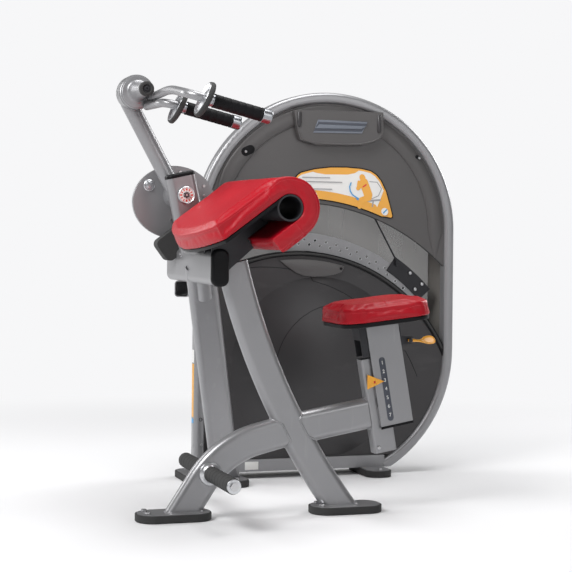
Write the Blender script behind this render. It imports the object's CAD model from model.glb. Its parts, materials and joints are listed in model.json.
"""Looks of a seated triceps press with an enclosed rotary weight tower, built round its fixed CAD frame."""

import json
import logging
import math
from collections.abc import Callable, Iterator, Sequence
from contextlib import contextmanager
from dataclasses import dataclass, field
from enum import Enum

import bpy
import numpy as np
from mathutils import Matrix, Vector
from mathutils.bvhtree import BVHTree
from mathutils.kdtree import KDTree


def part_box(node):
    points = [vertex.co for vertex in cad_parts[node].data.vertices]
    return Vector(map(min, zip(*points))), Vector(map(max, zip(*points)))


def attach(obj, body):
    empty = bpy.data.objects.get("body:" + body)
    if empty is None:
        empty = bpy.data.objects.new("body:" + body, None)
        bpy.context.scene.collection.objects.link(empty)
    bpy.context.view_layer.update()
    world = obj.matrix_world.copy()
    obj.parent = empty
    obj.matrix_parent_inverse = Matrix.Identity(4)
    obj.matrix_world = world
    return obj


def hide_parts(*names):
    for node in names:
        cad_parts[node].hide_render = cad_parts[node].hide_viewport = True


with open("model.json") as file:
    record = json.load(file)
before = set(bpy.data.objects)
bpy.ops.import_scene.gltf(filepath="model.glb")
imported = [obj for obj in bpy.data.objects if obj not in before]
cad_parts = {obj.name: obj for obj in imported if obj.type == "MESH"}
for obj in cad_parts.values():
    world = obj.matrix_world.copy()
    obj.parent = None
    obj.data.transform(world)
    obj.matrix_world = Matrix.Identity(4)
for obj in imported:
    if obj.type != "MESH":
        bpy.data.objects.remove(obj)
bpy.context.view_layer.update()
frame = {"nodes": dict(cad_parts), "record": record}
LOG = logging.getLogger("triceps_press")

Colour = tuple[float, float, float]
Point = tuple[float, float]
MM = 0.001
FRONT_FOOT = Vector((-0.587, -0.2855, 0.0))     # the design's own origin, on the floor in the user's mid-plane


def at(x: float, y: float, z: float) -> Vector:
    """Row point of a design point given in millimetres from the front foot."""
    return FRONT_FOOT + Vector((x, y, z)) * MM


def around(centre: Point, radius: float, degrees: float, y: float) -> Vector:
    """Row point on a circle about an axis along Y, in design millimetres."""
    turn = math.radians(degrees)
    return at(centre[0] + radius * math.cos(turn), y, centre[1] + radius * math.sin(turn))


def slant(degrees: float) -> Vector:
    """Unit vector in the XZ plane at an angle above +X."""
    turn = math.radians(degrees)
    return Vector((math.cos(turn), 0.0, math.sin(turn)))


# ------------------------------------------------------------------ shader graphs
class Sock:
    """An output socket that takes part in Python arithmetic."""

    def __init__(self, graph: "Graph", out: bpy.types.NodeSocket) -> None:
        """Keep the graph that owns the socket."""
        self.graph = graph
        self.out = out

    def _math(self, operation: str, first: "Sock | float", second: "Sock | float") -> "Sock":
        """Add one Math node."""
        return self.graph.node("ShaderNodeMath", {"operation": operation}, {0: first, 1: second})

    def __add__(self, other: "Sock | float") -> "Sock":
        """Sum."""
        return self._math("ADD", self, other)

    def __sub__(self, other: "Sock | float") -> "Sock":
        """Difference."""
        return self._math("SUBTRACT", self, other)

    def __rsub__(self, other: float) -> "Sock":
        """Difference from a number."""
        return self._math("SUBTRACT", other, self)

    def __mul__(self, other: "Sock | float") -> "Sock":
        """Product."""
        return self._math("MULTIPLY", self, other)

    __radd__ = __add__
    __rmul__ = __mul__


class Graph:
    """Node graph of one material round a Principled shader."""

    def __init__(self, name: str) -> None:
        """Make an empty material with its shader and object coordinates."""
        self.material = bpy.data.materials.new(name)
        self.material.use_nodes = True
        self.tree = self.material.node_tree
        self.tree.nodes.clear()
        self.shader = self.tree.nodes.new("ShaderNodeBsdfPrincipled")
        self.output = self.tree.nodes.new("ShaderNodeOutputMaterial")
        self.tree.links.new(self.shader.outputs[0], self.output.inputs[0])
        self.place = self.node("ShaderNodeTexCoord", out="Object")

    def node(self, kind: str, settings: dict | None = None, sockets: dict | None = None,
             out: int | str = 0) -> Sock:
        """Add any node.

        Args:
            kind: Blender's node type.
            settings: Node properties, with "stops" for a colour ramp's (position, colour) pairs.
            sockets: Values or links of its inputs, by name or index.
            out: The output that is returned.

        Returns:
            The chosen output.
        """
        made = self.tree.nodes.new(kind)
        for key, value in (settings or {}).items():
            if key == "stops":
                self._stops(made.color_ramp, value)
            else:
                setattr(made, key, value)
        for key, value in (sockets or {}).items():
            self.feed(made.inputs[key], value)
        return Sock(self, made.outputs[out])

    def _stops(self, ramp: bpy.types.ColorRamp, stops: Sequence[tuple[float, float]]) -> None:
        """Set a grey ramp's stops."""
        for index, (position, grey) in enumerate(stops):
            stop = ramp.elements[index] if index < 2 else ramp.elements.new(position)
            stop.position = position
            stop.color = (grey, grey, grey, 1.0)

    def feed(self, socket: bpy.types.NodeSocket, value: object) -> None:
        """Link or set one input."""
        if isinstance(value, Sock):
            self.tree.links.new(value.out, socket)
        else:
            socket.default_value = value

    def spread(self, stretch: Sequence[float]) -> Sock:
        """Object coordinates scaled by axis."""
        return self.node("ShaderNodeMapping", {}, {"Vector": self.place, "Scale": tuple(stretch)})

    def noise(self, scale: float, detail: float = 2.0, stretch: Sequence[float] = (1, 1, 1)) -> Sock:
        """Grey noise at a number of waves per metre."""
        return self.node("ShaderNodeTexNoise", {},
                         {"Vector": self.spread(stretch), "Scale": scale, "Detail": detail})

    def cells(self, scale: float, feature: str = "F1") -> Sock:
        """Grey cell pattern."""
        return self.node("ShaderNodeTexVoronoi", {"feature": feature}, {"Vector": self.place, "Scale": scale})

    def ramp(self, value: Sock, *stops: tuple[float, float]) -> Sock:
        """Grey ramp of a value."""
        return self.node("ShaderNodeValToRGB", {"stops": stops}, {0: value})

    def mix(self, share: "Sock | float", first: "Sock | Colour", second: "Sock | Colour") -> Sock:
        """Colour between two colours."""
        ends = [end if isinstance(end, Sock) else (*end, 1.0) for end in (first, second)]
        return self.node("ShaderNodeMix", {"data_type": "RGBA"}, {0: share, 6: ends[0], 7: ends[1]}, 2)

    def shades(self, colour: Colour, share: Sock, low: float, high: float) -> Sock:
        """A colour made darker and lighter by a mask."""
        darker = tuple(part * low for part in colour)
        lighter = tuple(min(1.0, part * high) for part in colour)
        return self.mix(share, darker, lighter)

    def relief(self, height: Sock, depth: float, strength: float = 1.0, under: Sock | None = None) -> Sock:
        """Bump of a height mask, on top of another bump."""
        sockets: dict = {"Height": height, "Distance": depth, "Strength": strength}
        if under is not None:
            sockets["Normal"] = under
        return self.node("ShaderNodeBump", {}, sockets)

    def dress(self, **sockets: object) -> None:
        """Feed the shader's inputs; underscores stand for spaces."""
        for key, value in sockets.items():
            self.feed(self.shader.inputs[key.replace("_", " ")], value)


# ------------------------------------------------------------------ finishes
@dataclass(frozen=True)
class Finish:
    """A finish with a main colour and an average roughness."""

    colour: Colour
    roughness: float

    def paint(self, graph: Graph) -> None:
        """Fill the graph; each finish has its own way."""
        raise NotImplementedError


@dataclass(frozen=True)
class PowderCoat(Finish):
    """Metallic powder coat: fine flake, orange peel and faint handling marks."""

    metallic: float = 0.55
    peel: float = 0.00012

    def paint(self, graph: Graph) -> None:
        """Fill the graph."""
        flake = graph.noise(1500, 1)
        broad = graph.noise(5, 3)
        marks = graph.ramp(graph.noise(38, 4, (1, 1, 0.12)), (0.62, 0.0), (0.72, 1.0))
        tone = flake * 0.45 + broad * 0.55
        colour = graph.mix(marks * (0.10 if self.metallic else 0.02), graph.shades(self.colour, tone, 0.84, 1.16),
                           (0.55, 0.55, 0.56))
        texture = graph.relief(graph.noise(330, 2), self.peel, 0.55)
        graph.dress(Base_Color=colour, Metallic=self.metallic,
                    Roughness=flake * 0.10 + broad * 0.12 + marks * 0.08 + (self.roughness - 0.11),
                    Normal=graph.relief(flake, 0.00001, 0.3, texture))
        graph.dress(Specular_IOR_Level=0.5 if self.metallic else 0.16)


@dataclass(frozen=True)
class Moulded(Finish):
    """Textured moulded plastic with broad cooling shades and faint scuffs."""

    stipple: float = 0.00016
    grain: float = 1100.0
    metallic: float = 0.0
    gleam: float = 0.45

    def paint(self, graph: Graph) -> None:
        """Fill the graph."""
        pits = graph.cells(self.grain)
        broad = graph.noise(3.5, 2)
        scuffs = graph.ramp(graph.noise(26, 5, (0.35, 1, 1)), (0.60, 0.0), (0.74, 1.0))
        colour = graph.mix(scuffs * 0.05, graph.shades(self.colour, broad, 0.86, 1.14), (0.24, 0.23, 0.22))
        graph.dress(Base_Color=colour, Metallic=self.metallic,
                    Roughness=broad * 0.10 + scuffs * 0.12 + (self.roughness - 0.07),
                    Normal=graph.relief(pits, self.stipple, 0.5, graph.relief(graph.noise(9, 2), 0.0006, 0.12)))
        graph.dress(Specular_IOR_Level=self.gleam)


@dataclass(frozen=True)
class Upholstery(Finish):
    """Grained vinyl: pebble cells, creases that hold a darker tone, soft pulls and polish where it is rubbed."""

    pebble: float = 620.0

    def paint(self, graph: Graph) -> None:
        """Fill the graph."""
        edge = graph.ramp(graph.cells(self.pebble, "DISTANCE_TO_EDGE"), (0.02, 0.0), (0.22, 1.0))
        broad = graph.noise(7, 3)
        pull = graph.noise(42, 3, (1, 0.3, 1))
        rubbed = graph.ramp(graph.noise(4.2, 4), (0.45, 0.0), (0.65, 1.0))
        base = graph.shades(self.colour, broad, 0.88, 1.10)
        colour = graph.mix((1 - edge) * 0.30, base, tuple(part * 0.45 for part in self.colour))
        grain = graph.relief(edge, 0.00018, 0.45, graph.relief(pull, 0.0011, 0.35))
        graph.dress(Base_Color=colour, Normal=grain, Coat_Weight=rubbed * 0.10,
                    Roughness=(1 - edge) * 0.10 + rubbed * -0.06 + broad * 0.08 + (self.roughness - 0.03))
        graph.dress(Coat_Roughness=0.25, Specular_IOR_Level=0.34)


@dataclass(frozen=True)
class Rubber(Finish):
    """Matt rubber with a fine tooth and pale dust in its low places."""

    tooth: float = 900.0
    rib: float = 0.0

    def paint(self, graph: Graph) -> None:
        """Fill the graph."""
        dust = graph.ramp(graph.noise(16, 5), (0.50, 0.0), (0.75, 1.0))
        tooth = graph.noise(self.tooth, 3)
        colour = graph.mix(dust * 0.07, graph.shades(self.colour, tooth, 0.8, 1.25), (0.12, 0.116, 0.112))
        under = graph.relief(graph.cells(self.rib, "DISTANCE_TO_EDGE"), 0.0005, 0.6) if self.rib else None
        graph.dress(Base_Color=colour, Roughness=dust * 0.12 + tooth * 0.08 + (self.roughness - 0.05),
                    Normal=graph.relief(tooth, 0.00015, 0.5, under))
        graph.dress(Specular_IOR_Level=0.14)


@dataclass(frozen=True)
class BareMetal(Finish):
    """Plated or polished metal with drawn scratches and soft smears."""

    scratch: float = 0.00003
    stretch: tuple[float, float, float] = (1, 14, 1)

    def paint(self, graph: Graph) -> None:
        """Fill the graph."""
        drawn = graph.noise(420, 3, self.stretch)
        smear = graph.noise(24, 3)
        graph.dress(Base_Color=graph.shades(self.colour, smear, 0.86, 1.08), Metallic=1.0,
                    Roughness=drawn * 0.08 + smear * 0.10 + (self.roughness - 0.09),
                    Normal=graph.relief(drawn, self.scratch, 0.5))


@dataclass(frozen=True)
class CastIron(Finish):
    """Enamelled cast iron with sand texture and chips."""

    def paint(self, graph: Graph) -> None:
        """Fill the graph."""
        sand = graph.noise(260, 4)
        chips = graph.ramp(graph.noise(60, 5), (0.66, 0.0), (0.70, 1.0))
        graph.dress(Base_Color=graph.mix(chips * 0.5, graph.shades(self.colour, sand, 0.7, 1.3), (0.2, 0.19, 0.18)),
                    Roughness=sand * 0.2 + (self.roughness - 0.1), Metallic=chips * 0.5,
                    Normal=graph.relief(sand, 0.0005, 0.6))


@dataclass(frozen=True)
class SmokedSheet(Finish):
    """Translucent smoked sheet with a faint haze and hairline wipes."""

    cover: float = 0.62

    def paint(self, graph: Graph) -> None:
        """Fill the graph."""
        haze = graph.noise(2.6, 3, (2.2, 1, 0.25))
        wipes = graph.noise(160, 3, (1, 1, 0.06))
        graph.dress(Base_Color=graph.shades(self.colour, haze, 0.78, 1.15),
                    Roughness=wipes * 0.10 + haze * 0.08 + (self.roughness - 0.09),
                    Alpha=haze * 0.12 + (self.cover - 0.06), Normal=graph.relief(wipes, 0.00002, 0.4))


class Look(Enum):
    """Every finish on the machine."""

    SILVER = PowderCoat((0.300, 0.300, 0.310), 0.34)
    PANEL = Moulded((0.092, 0.088, 0.088), 0.38, metallic=0.25)
    COVER = Moulded((0.046, 0.044, 0.046), 0.36, metallic=0.20)
    SHELL = Moulded((0.170, 0.162, 0.150), 0.50)
    BLACK = Moulded((0.006, 0.006, 0.007), 0.42, stipple=0.00012, gleam=0.15)
    BLACK_STEEL = PowderCoat((0.008, 0.008, 0.009), 0.45, metallic=0.0)
    VINYL = Upholstery((0.440, 0.0, 0.010), 0.36)
    THREAD = Rubber((0.640, 0.060, 0.080), 0.60)
    RUBBER = Rubber((0.006, 0.006, 0.007), 0.60)
    GRIP = Rubber((0.007, 0.007, 0.008), 0.56, rib=420.0)
    ZINC = BareMetal((0.60, 0.60, 0.61), 0.30)
    BADGE = BareMetal((0.170, 0.185, 0.215), 0.36)
    CHROME = BareMetal((0.36, 0.37, 0.39), 0.30, scratch=0.00001)
    ALUMINIUM = BareMetal((0.66, 0.67, 0.69), 0.34)
    YELLOW = Moulded((0.860, 0.390, 0.035), 0.30, stipple=0.00005)
    ORANGE_PRINT = Moulded((0.800, 0.390, 0.060), 0.36, stipple=0.00002)
    WHITE_PRINT = Moulded((0.780, 0.775, 0.755), 0.38, stipple=0.00002)
    GREY_PRINT = Moulded((0.330, 0.330, 0.340), 0.40, stipple=0.00002)
    BLUE_PRINT = Moulded((0.070, 0.330, 0.620), 0.40, stipple=0.00002)
    RED_PRINT = Moulded((0.680, 0.060, 0.040), 0.40, stipple=0.00002)
    NIGHT_PRINT = Moulded((0.055, 0.062, 0.082), 0.38, stipple=0.00002)
    IRON = CastIron((0.030, 0.030, 0.032), 0.55)
    SMOKED = SmokedSheet((0.200, 0.190, 0.175), 0.34)

    def material(self) -> bpy.types.Material:
        """The finish's material, made at its first use."""
        name = self.name.lower()
        if name not in bpy.data.materials:
            graph = Graph(name)
            self.value.paint(graph)
        return bpy.data.materials[name]


# ------------------------------------------------------------------ the workbench
class Bench:
    """Modelling operators, used as at a workbench."""

    @staticmethod
    def pick(*pieces: bpy.types.Object) -> None:
        """Select only these pieces and make the first one active."""
        if bpy.context.object and bpy.context.object.mode != "OBJECT":
            bpy.ops.object.mode_set(mode="OBJECT")
        bpy.ops.object.select_all(action="DESELECT")
        for piece in pieces:
            piece.hide_set(False)
            piece.select_set(True)
        bpy.context.view_layer.objects.active = pieces[0] if pieces else None

    @staticmethod
    @contextmanager
    def editing(piece: bpy.types.Object, parts: str = "FACE") -> Iterator[None]:
        """Edit mode on one piece, with a chosen kind of element."""
        Bench.pick(piece)
        bpy.ops.object.mode_set(mode="EDIT")
        bpy.ops.mesh.select_mode(type=parts)
        yield
        bpy.ops.object.mode_set(mode="OBJECT")

    @staticmethod
    def choose_faces(piece: bpy.types.Object, test: Callable[[Vector, Vector], bool]) -> None:
        """Select the faces whose centre and normal pass a test, for the next edit."""
        mesh = piece.data
        mesh.vertices.foreach_set("select", [False] * len(mesh.vertices))
        mesh.edges.foreach_set("select", [False] * len(mesh.edges))
        for face in mesh.polygons:
            face.select = test(face.center, face.normal)

    @staticmethod
    def modify(piece: bpy.types.Object, kind: str, **settings: object) -> None:
        """Add one modifier and apply it."""
        Bench.pick(piece)
        modifier = piece.modifiers.new(kind.title(), kind)
        for key, value in settings.items():
            setattr(modifier, key, value)
        bpy.ops.object.modifier_apply(modifier=modifier.name)

    @staticmethod
    def smooth(piece: bpy.types.Object, degrees: float = 35.0) -> None:
        """Smooth shading with sharp edges past an angle."""
        Bench.pick(piece)
        bpy.ops.object.shade_smooth_by_angle(angle=math.radians(degrees))

    @staticmethod
    def settle(piece: bpy.types.Object, place: Matrix | None = None) -> None:
        """Move a piece to its place and leave its object at the origin."""
        Bench.pick(piece)
        if place is not None:
            piece.matrix_world = place @ piece.matrix_world
        bpy.context.view_layer.update()
        bpy.ops.object.transform_apply(location=True, rotation=True, scale=True)

    @staticmethod
    def outward(piece: bpy.types.Object) -> None:
        """Merge doubles and turn every face outwards."""
        with Bench.editing(piece):
            bpy.ops.mesh.select_all(action="SELECT")
            bpy.ops.mesh.remove_doubles(threshold=1e-6)
            bpy.ops.mesh.normals_make_consistent(inside=False)

    @staticmethod
    def joined(name: str, pieces: Sequence[bpy.types.Object]) -> bpy.types.Object:
        """Join pieces into the first one."""
        Bench.pick(*pieces)
        if len(pieces) > 1:
            bpy.ops.object.join()
        pieces[0].name = name
        return pieces[0]

    @staticmethod
    def aim(origin: Vector, along: Vector) -> Matrix:
        """Placement that turns local +Z to a direction at an origin."""
        return Matrix.Translation(origin) @ Vector((0, 0, 1)).rotation_difference(along).to_matrix().to_4x4()

    @staticmethod
    def turned(name: str, origin: Vector, along: Vector, profile: Sequence[Point], sides: int = 48,
               ring: bool = False, soften: float = 0.0) -> bpy.types.Object:
        """Turn a part on the lathe.

        Args:
            name: The piece's name.
            origin: Where the profile's zero height lies.
            along: Direction of growing height.
            profile: Pairs of radius and height in millimetres.
            sides: Facets round the part.
            ring: True for a closed profile with an open middle.
            soften: Bevel width of its sharp edges in millimetres.

        Returns:
            The finished part.
        """
        Bench.pick()
        radius, height = profile[0]
        bpy.ops.mesh.primitive_circle_add(vertices=sides, radius=radius * MM,
                                          fill_type="NOTHING" if ring else "NGON", location=(0, 0, height * MM))
        part = bpy.context.object
        part.name = name
        steps = list(profile[1:]) + ([profile[0]] if ring else [])
        with Bench.editing(part, "EDGE" if ring else "FACE"):
            bpy.ops.mesh.select_all(action="SELECT")
            for new_radius, new_height in steps:
                bpy.ops.mesh.extrude_region_move(
                    TRANSFORM_OT_translate={"value": (0, 0, (new_height - height) * MM)})
                scale = new_radius / radius
                bpy.ops.transform.resize(value=(scale, scale, 1))
                radius, height = new_radius, new_height
        Bench.outward(part)
        if soften:
            Bench.modify(part, "BEVEL", width=soften * MM, segments=2, limit_method="ANGLE",
                         angle_limit=math.radians(35), use_clamp_overlap=True)
        Bench.settle(part, Bench.aim(origin, along))
        Bench.smooth(part)
        return part

    @staticmethod
    def line(name: str, points: Sequence[Vector], closed: bool = False) -> bpy.types.Object:
        """A curve through points."""
        data = bpy.data.curves.new(name, "CURVE")
        data.dimensions = "3D"
        spline = data.splines.new("POLY")
        spline.points.add(len(points) - 1)
        for knot, point in zip(spline.points, points):
            knot.co = (*point, 1.0)
        spline.use_cyclic_u = closed
        piece = bpy.data.objects.new(name, data)
        bpy.context.scene.collection.objects.link(piece)
        return piece

    @staticmethod
    def bead(name: str, points: Sequence[Vector], radius: float, closed: bool = False,
             onto: bpy.types.Object | None = None, sides: int = 3) -> bpy.types.Object:
        """A round bead along points, laid on a surface if one is given; radius in millimetres."""
        piece = Bench.line(name, points, closed)
        if onto is not None:
            Bench.pick(piece)
            bpy.ops.object.convert(target="MESH")
            Bench.modify(piece, "SHRINKWRAP", target=onto, wrap_method="NEAREST_SURFACEPOINT")
            Bench.pick(piece)
            bpy.ops.object.convert(target="CURVE")
        piece.data.bevel_depth = radius * MM
        piece.data.bevel_resolution = sides
        piece.data.use_fill_caps = True
        Bench.pick(piece)
        bpy.ops.object.convert(target="MESH")
        Bench.outward(piece)
        Bench.smooth(piece, 60)
        return piece

    @staticmethod
    def plate(name: str, outline: Sequence[Vector], thick: Vector, soften: float = 0.4) -> bpy.types.Object:
        """A flat plate extruded from an outline by a vector; soften in millimetres."""
        Bench.pick()
        bpy.ops.mesh.primitive_circle_add(vertices=len(outline), radius=1, fill_type="NGON", location=(0, 0, 0))
        piece = bpy.context.object
        piece.name = name
        for vertex, point in zip(piece.data.vertices, outline):
            vertex.co = point
        with Bench.editing(piece):
            bpy.ops.mesh.select_all(action="SELECT")
            bpy.ops.mesh.extrude_region_move(TRANSFORM_OT_translate={"value": tuple(thick)})
        Bench.outward(piece)
        if soften:
            Bench.modify(piece, "BEVEL", width=soften * MM, segments=2, limit_method="ANGLE",
                         angle_limit=math.radians(50), use_clamp_overlap=True)
        Bench.smooth(piece)
        return piece


class Fitter:
    """Dresses pieces, hangs them on their bodies and reports them."""

    def __init__(self) -> None:
        """Read the record's slots and bodies."""
        record = frame["record"]
        self.slot_of = {part["node"]: part["material_slot"] for part in record["subparts"]}
        self.body_of = {node: body for body, nodes in record["behaviour"]["bodies"].items() for node in nodes}
        self.stood_for: set[str] = set()

    def dress(self, piece: bpy.types.Object, look: Look) -> None:
        """Give a piece one finish."""
        piece.data.materials.clear()
        piece.data.materials.append(look.material())

    def hang(self, piece: bpy.types.Object, look: Look, body: str, slot: str) -> bpy.types.Object:
        """Dress a new piece and make it ride."""
        self.dress(piece, look)
        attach(piece, body)
        LOG.info("%s: %d faces on %s, %s", piece.name, len(piece.data.polygons), body, look.name.lower())
        return piece

    def stand_for(self, piece: bpy.types.Object, look: Look, *nodes: str) -> bpy.types.Object:
        """Dress a piece that takes the place of CAD nodes."""
        self.hang(piece, look, self.body_of[nodes[0]], self.slot_of[nodes[0]])
        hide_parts(*nodes)
        self.stood_for.update(nodes)
        return piece

    def keep(self, look: Look, *nodes: str) -> None:
        """Give CAD nodes that stay visible their finish."""
        for node in nodes:
            kept = frame["nodes"][node]
            if kept.material_slots:
                kept.material_slots[0].material = look.material()
            else:
                kept.data.materials.append(look.material())
            LOG.info("%s: kept, %s", node, look.name.lower())

    def copy_of(self, node: str) -> bpy.types.Object:
        """A merged copy of a CAD node, free to be worked on."""
        piece = bpy.data.objects.new(node + "_worked", frame["nodes"][node].data.copy())
        bpy.context.scene.collection.objects.link(piece)
        Bench.pick(piece)
        bpy.ops.mesh.customdata_custom_splitnormals_clear()
        with Bench.editing(piece):
            bpy.ops.mesh.select_all(action="SELECT")
            bpy.ops.mesh.remove_doubles(threshold=1e-5)
            bpy.ops.mesh.dissolve_limited(angle_limit=math.radians(0.4))
        return piece

    def refine(self, look: Look, edge: float, *nodes: str) -> list[bpy.types.Object]:
        """Copies of CAD nodes with rounded edges; edge in millimetres."""
        made = []
        for node in nodes:
            piece = self.copy_of(node)
            Bench.modify(piece, "BEVEL", width=edge * MM, segments=2, limit_method="ANGLE",
                         angle_limit=math.radians(38), use_clamp_overlap=False, harden_normals=False)
            Bench.smooth(piece, 40)
            Bench.modify(piece, "WEIGHTED_NORMAL", keep_sharp=True, weight=60)
            made.append(self.stand_for(piece, look, node))
        return made


# ------------------------------------------------------------------ soft goods
@dataclass
class Cushion:
    """A stuffed vinyl cushion blown up from its CAD form and then sewn."""

    node: str
    name: str
    fitter: Fitter
    voxel: float = 0.0055
    cap: float = 0.008
    shrink: float = 0.0035
    fill: float = 0.85
    piece: bpy.types.Object = field(init=False)

    def blow_up(self, rests: Callable[[Vector], bool]) -> None:
        """Round the block, then swell it as cloth under pressure.

        Args:
            rests: True for a point that lies on the board and stays flat.
        """
        piece = self.fitter.copy_of(self.node)
        piece.name = self.name
        self.piece = piece
        Bench.modify(piece, "BEVEL", width=0.009, segments=3, limit_method="ANGLE",
                     angle_limit=math.radians(38), use_clamp_overlap=False)
        piece.data.remesh_voxel_size = self.voxel
        Bench.pick(piece)
        bpy.ops.object.voxel_remesh()
        held = piece.vertex_groups.new(name="held")
        free = piece.vertex_groups.new(name="free")
        for vertex in piece.data.vertices:
            (held if rests(vertex.co) else free).add([vertex.index], 1.0, "REPLACE")
        Bench.modify(piece, "DISPLACE", strength=-self.shrink, mid_level=0.0, vertex_group="free")
        self._simulate()
        piece.vertex_groups.clear()
        Bench.modify(piece, "SMOOTH", factor=0.5, iterations=3)
        Bench.modify(piece, "SUBSURF", levels=1, render_levels=1)

    def _simulate(self) -> None:
        """Swell under pressure, held where it rests, and cap how far a point moves."""
        piece = self.piece
        before = self._points()
        cloth = piece.modifiers.new("Cloth", "CLOTH")
        cloth.settings.vertex_group_mass = "held"
        cloth.settings.use_pressure = True
        cloth.settings.uniform_pressure_force = 4.0
        cloth.settings.quality = 4
        cloth.settings.effector_weights.gravity = 0.0
        cloth.point_cache.frame_start = 1
        cloth.point_cache.frame_end = 20
        scene = bpy.context.scene
        for step in range(1, 21):
            scene.frame_set(step)
        Bench.pick(piece)
        bpy.ops.object.modifier_apply(modifier=cloth.name)
        scene.frame_set(1)
        move = self._points() - before
        far = np.linalg.norm(move, axis=1, keepdims=True)
        move *= np.minimum(1.0, self.cap / np.maximum(far, 1e-9))
        piece.data.vertices.foreach_set("co", (before + move).astype(np.float32).ravel())
        piece.data.update()

    def _points(self) -> np.ndarray:
        """The mesh's points as an array."""
        mesh = self.piece.data
        flat = np.empty(len(mesh.vertices) * 3, np.float32)
        mesh.vertices.foreach_get("co", flat)
        return flat.reshape(-1, 3).astype(float)

    def crease(self, points: Sequence[Vector], depth: float, width: float) -> None:
        """Draw the skin in along a seam; depth and width in millimetres."""
        dense = self._dense(points, 0.003)
        tree = KDTree(len(dense))
        for index, point in enumerate(dense):
            tree.insert(point, index)
        tree.balance()
        mesh = self.piece.data
        reach = 3 * width * MM
        for vertex in mesh.vertices:
            distance = tree.find(vertex.co)[2]
            if distance < reach:
                vertex.co -= vertex.normal * (depth * MM * math.exp(-(distance / (width * MM)) ** 2))
        mesh.update()

    @staticmethod
    def _dense(points: Sequence[Vector], step: float) -> list[Vector]:
        """Points along a polyline at a small step."""
        dense = []
        for start, end in zip(points, points[1:]):
            count = max(1, int((end - start).length / step))
            dense += [start.lerp(end, index / count) for index in range(count)]
        return dense + [points[-1]]

    def sew(self, name: str, points: Sequence[Vector], pitch: float = 6.0, gauge: float = 0.55) -> None:
        """Lay thread stitches on the skin along a seam; sizes in millimetres."""
        guide = Bench.line(name + "_guide", self._dense(points, 0.006))
        Bench.pick(guide)
        bpy.ops.object.convert(target="MESH")
        Bench.modify(guide, "SHRINKWRAP", target=self.piece, wrap_method="NEAREST_SURFACEPOINT", offset=0.0002)
        Bench.pick(guide)
        bpy.ops.object.convert(target="CURVE")
        length = sum(spline.calc_length() for spline in guide.data.splines)
        stitch = self._stitch(name, pitch * 0.68, gauge)
        Bench.modify(stitch, "ARRAY", fit_type="FIXED_COUNT", count=max(2, int(length / (pitch * MM))),
                     use_relative_offset=False, use_constant_offset=True,
                     constant_offset_displace=(pitch * MM, 0, 0))
        Bench.modify(stitch, "CURVE", object=guide, deform_axis="POS_X")
        bpy.data.objects.remove(guide)
        Bench.smooth(stitch, 60)
        self.fitter.hang(stitch, Look.THREAD, self.fitter.body_of[self.node], self.fitter.slot_of[self.node])

    @staticmethod
    def _stitch(name: str, length: float, gauge: float) -> bpy.types.Object:
        """One thread stitch along +X from the origin; sizes in millimetres."""
        profile = [(gauge * 0.35, 0), (gauge * 0.9, length * 0.12), (gauge, length * 0.5),
                   (gauge * 0.9, length * 0.88), (gauge * 0.35, length)]
        return Bench.turned(name, Vector((0, 0, 0)), Vector((1, 0, 0)), profile, sides=6)

    def finish(self) -> None:
        Bench.smooth(self.piece, 180)
        self.fitter.stand_for(self.piece, Look.VINYL, self.node)


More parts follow.
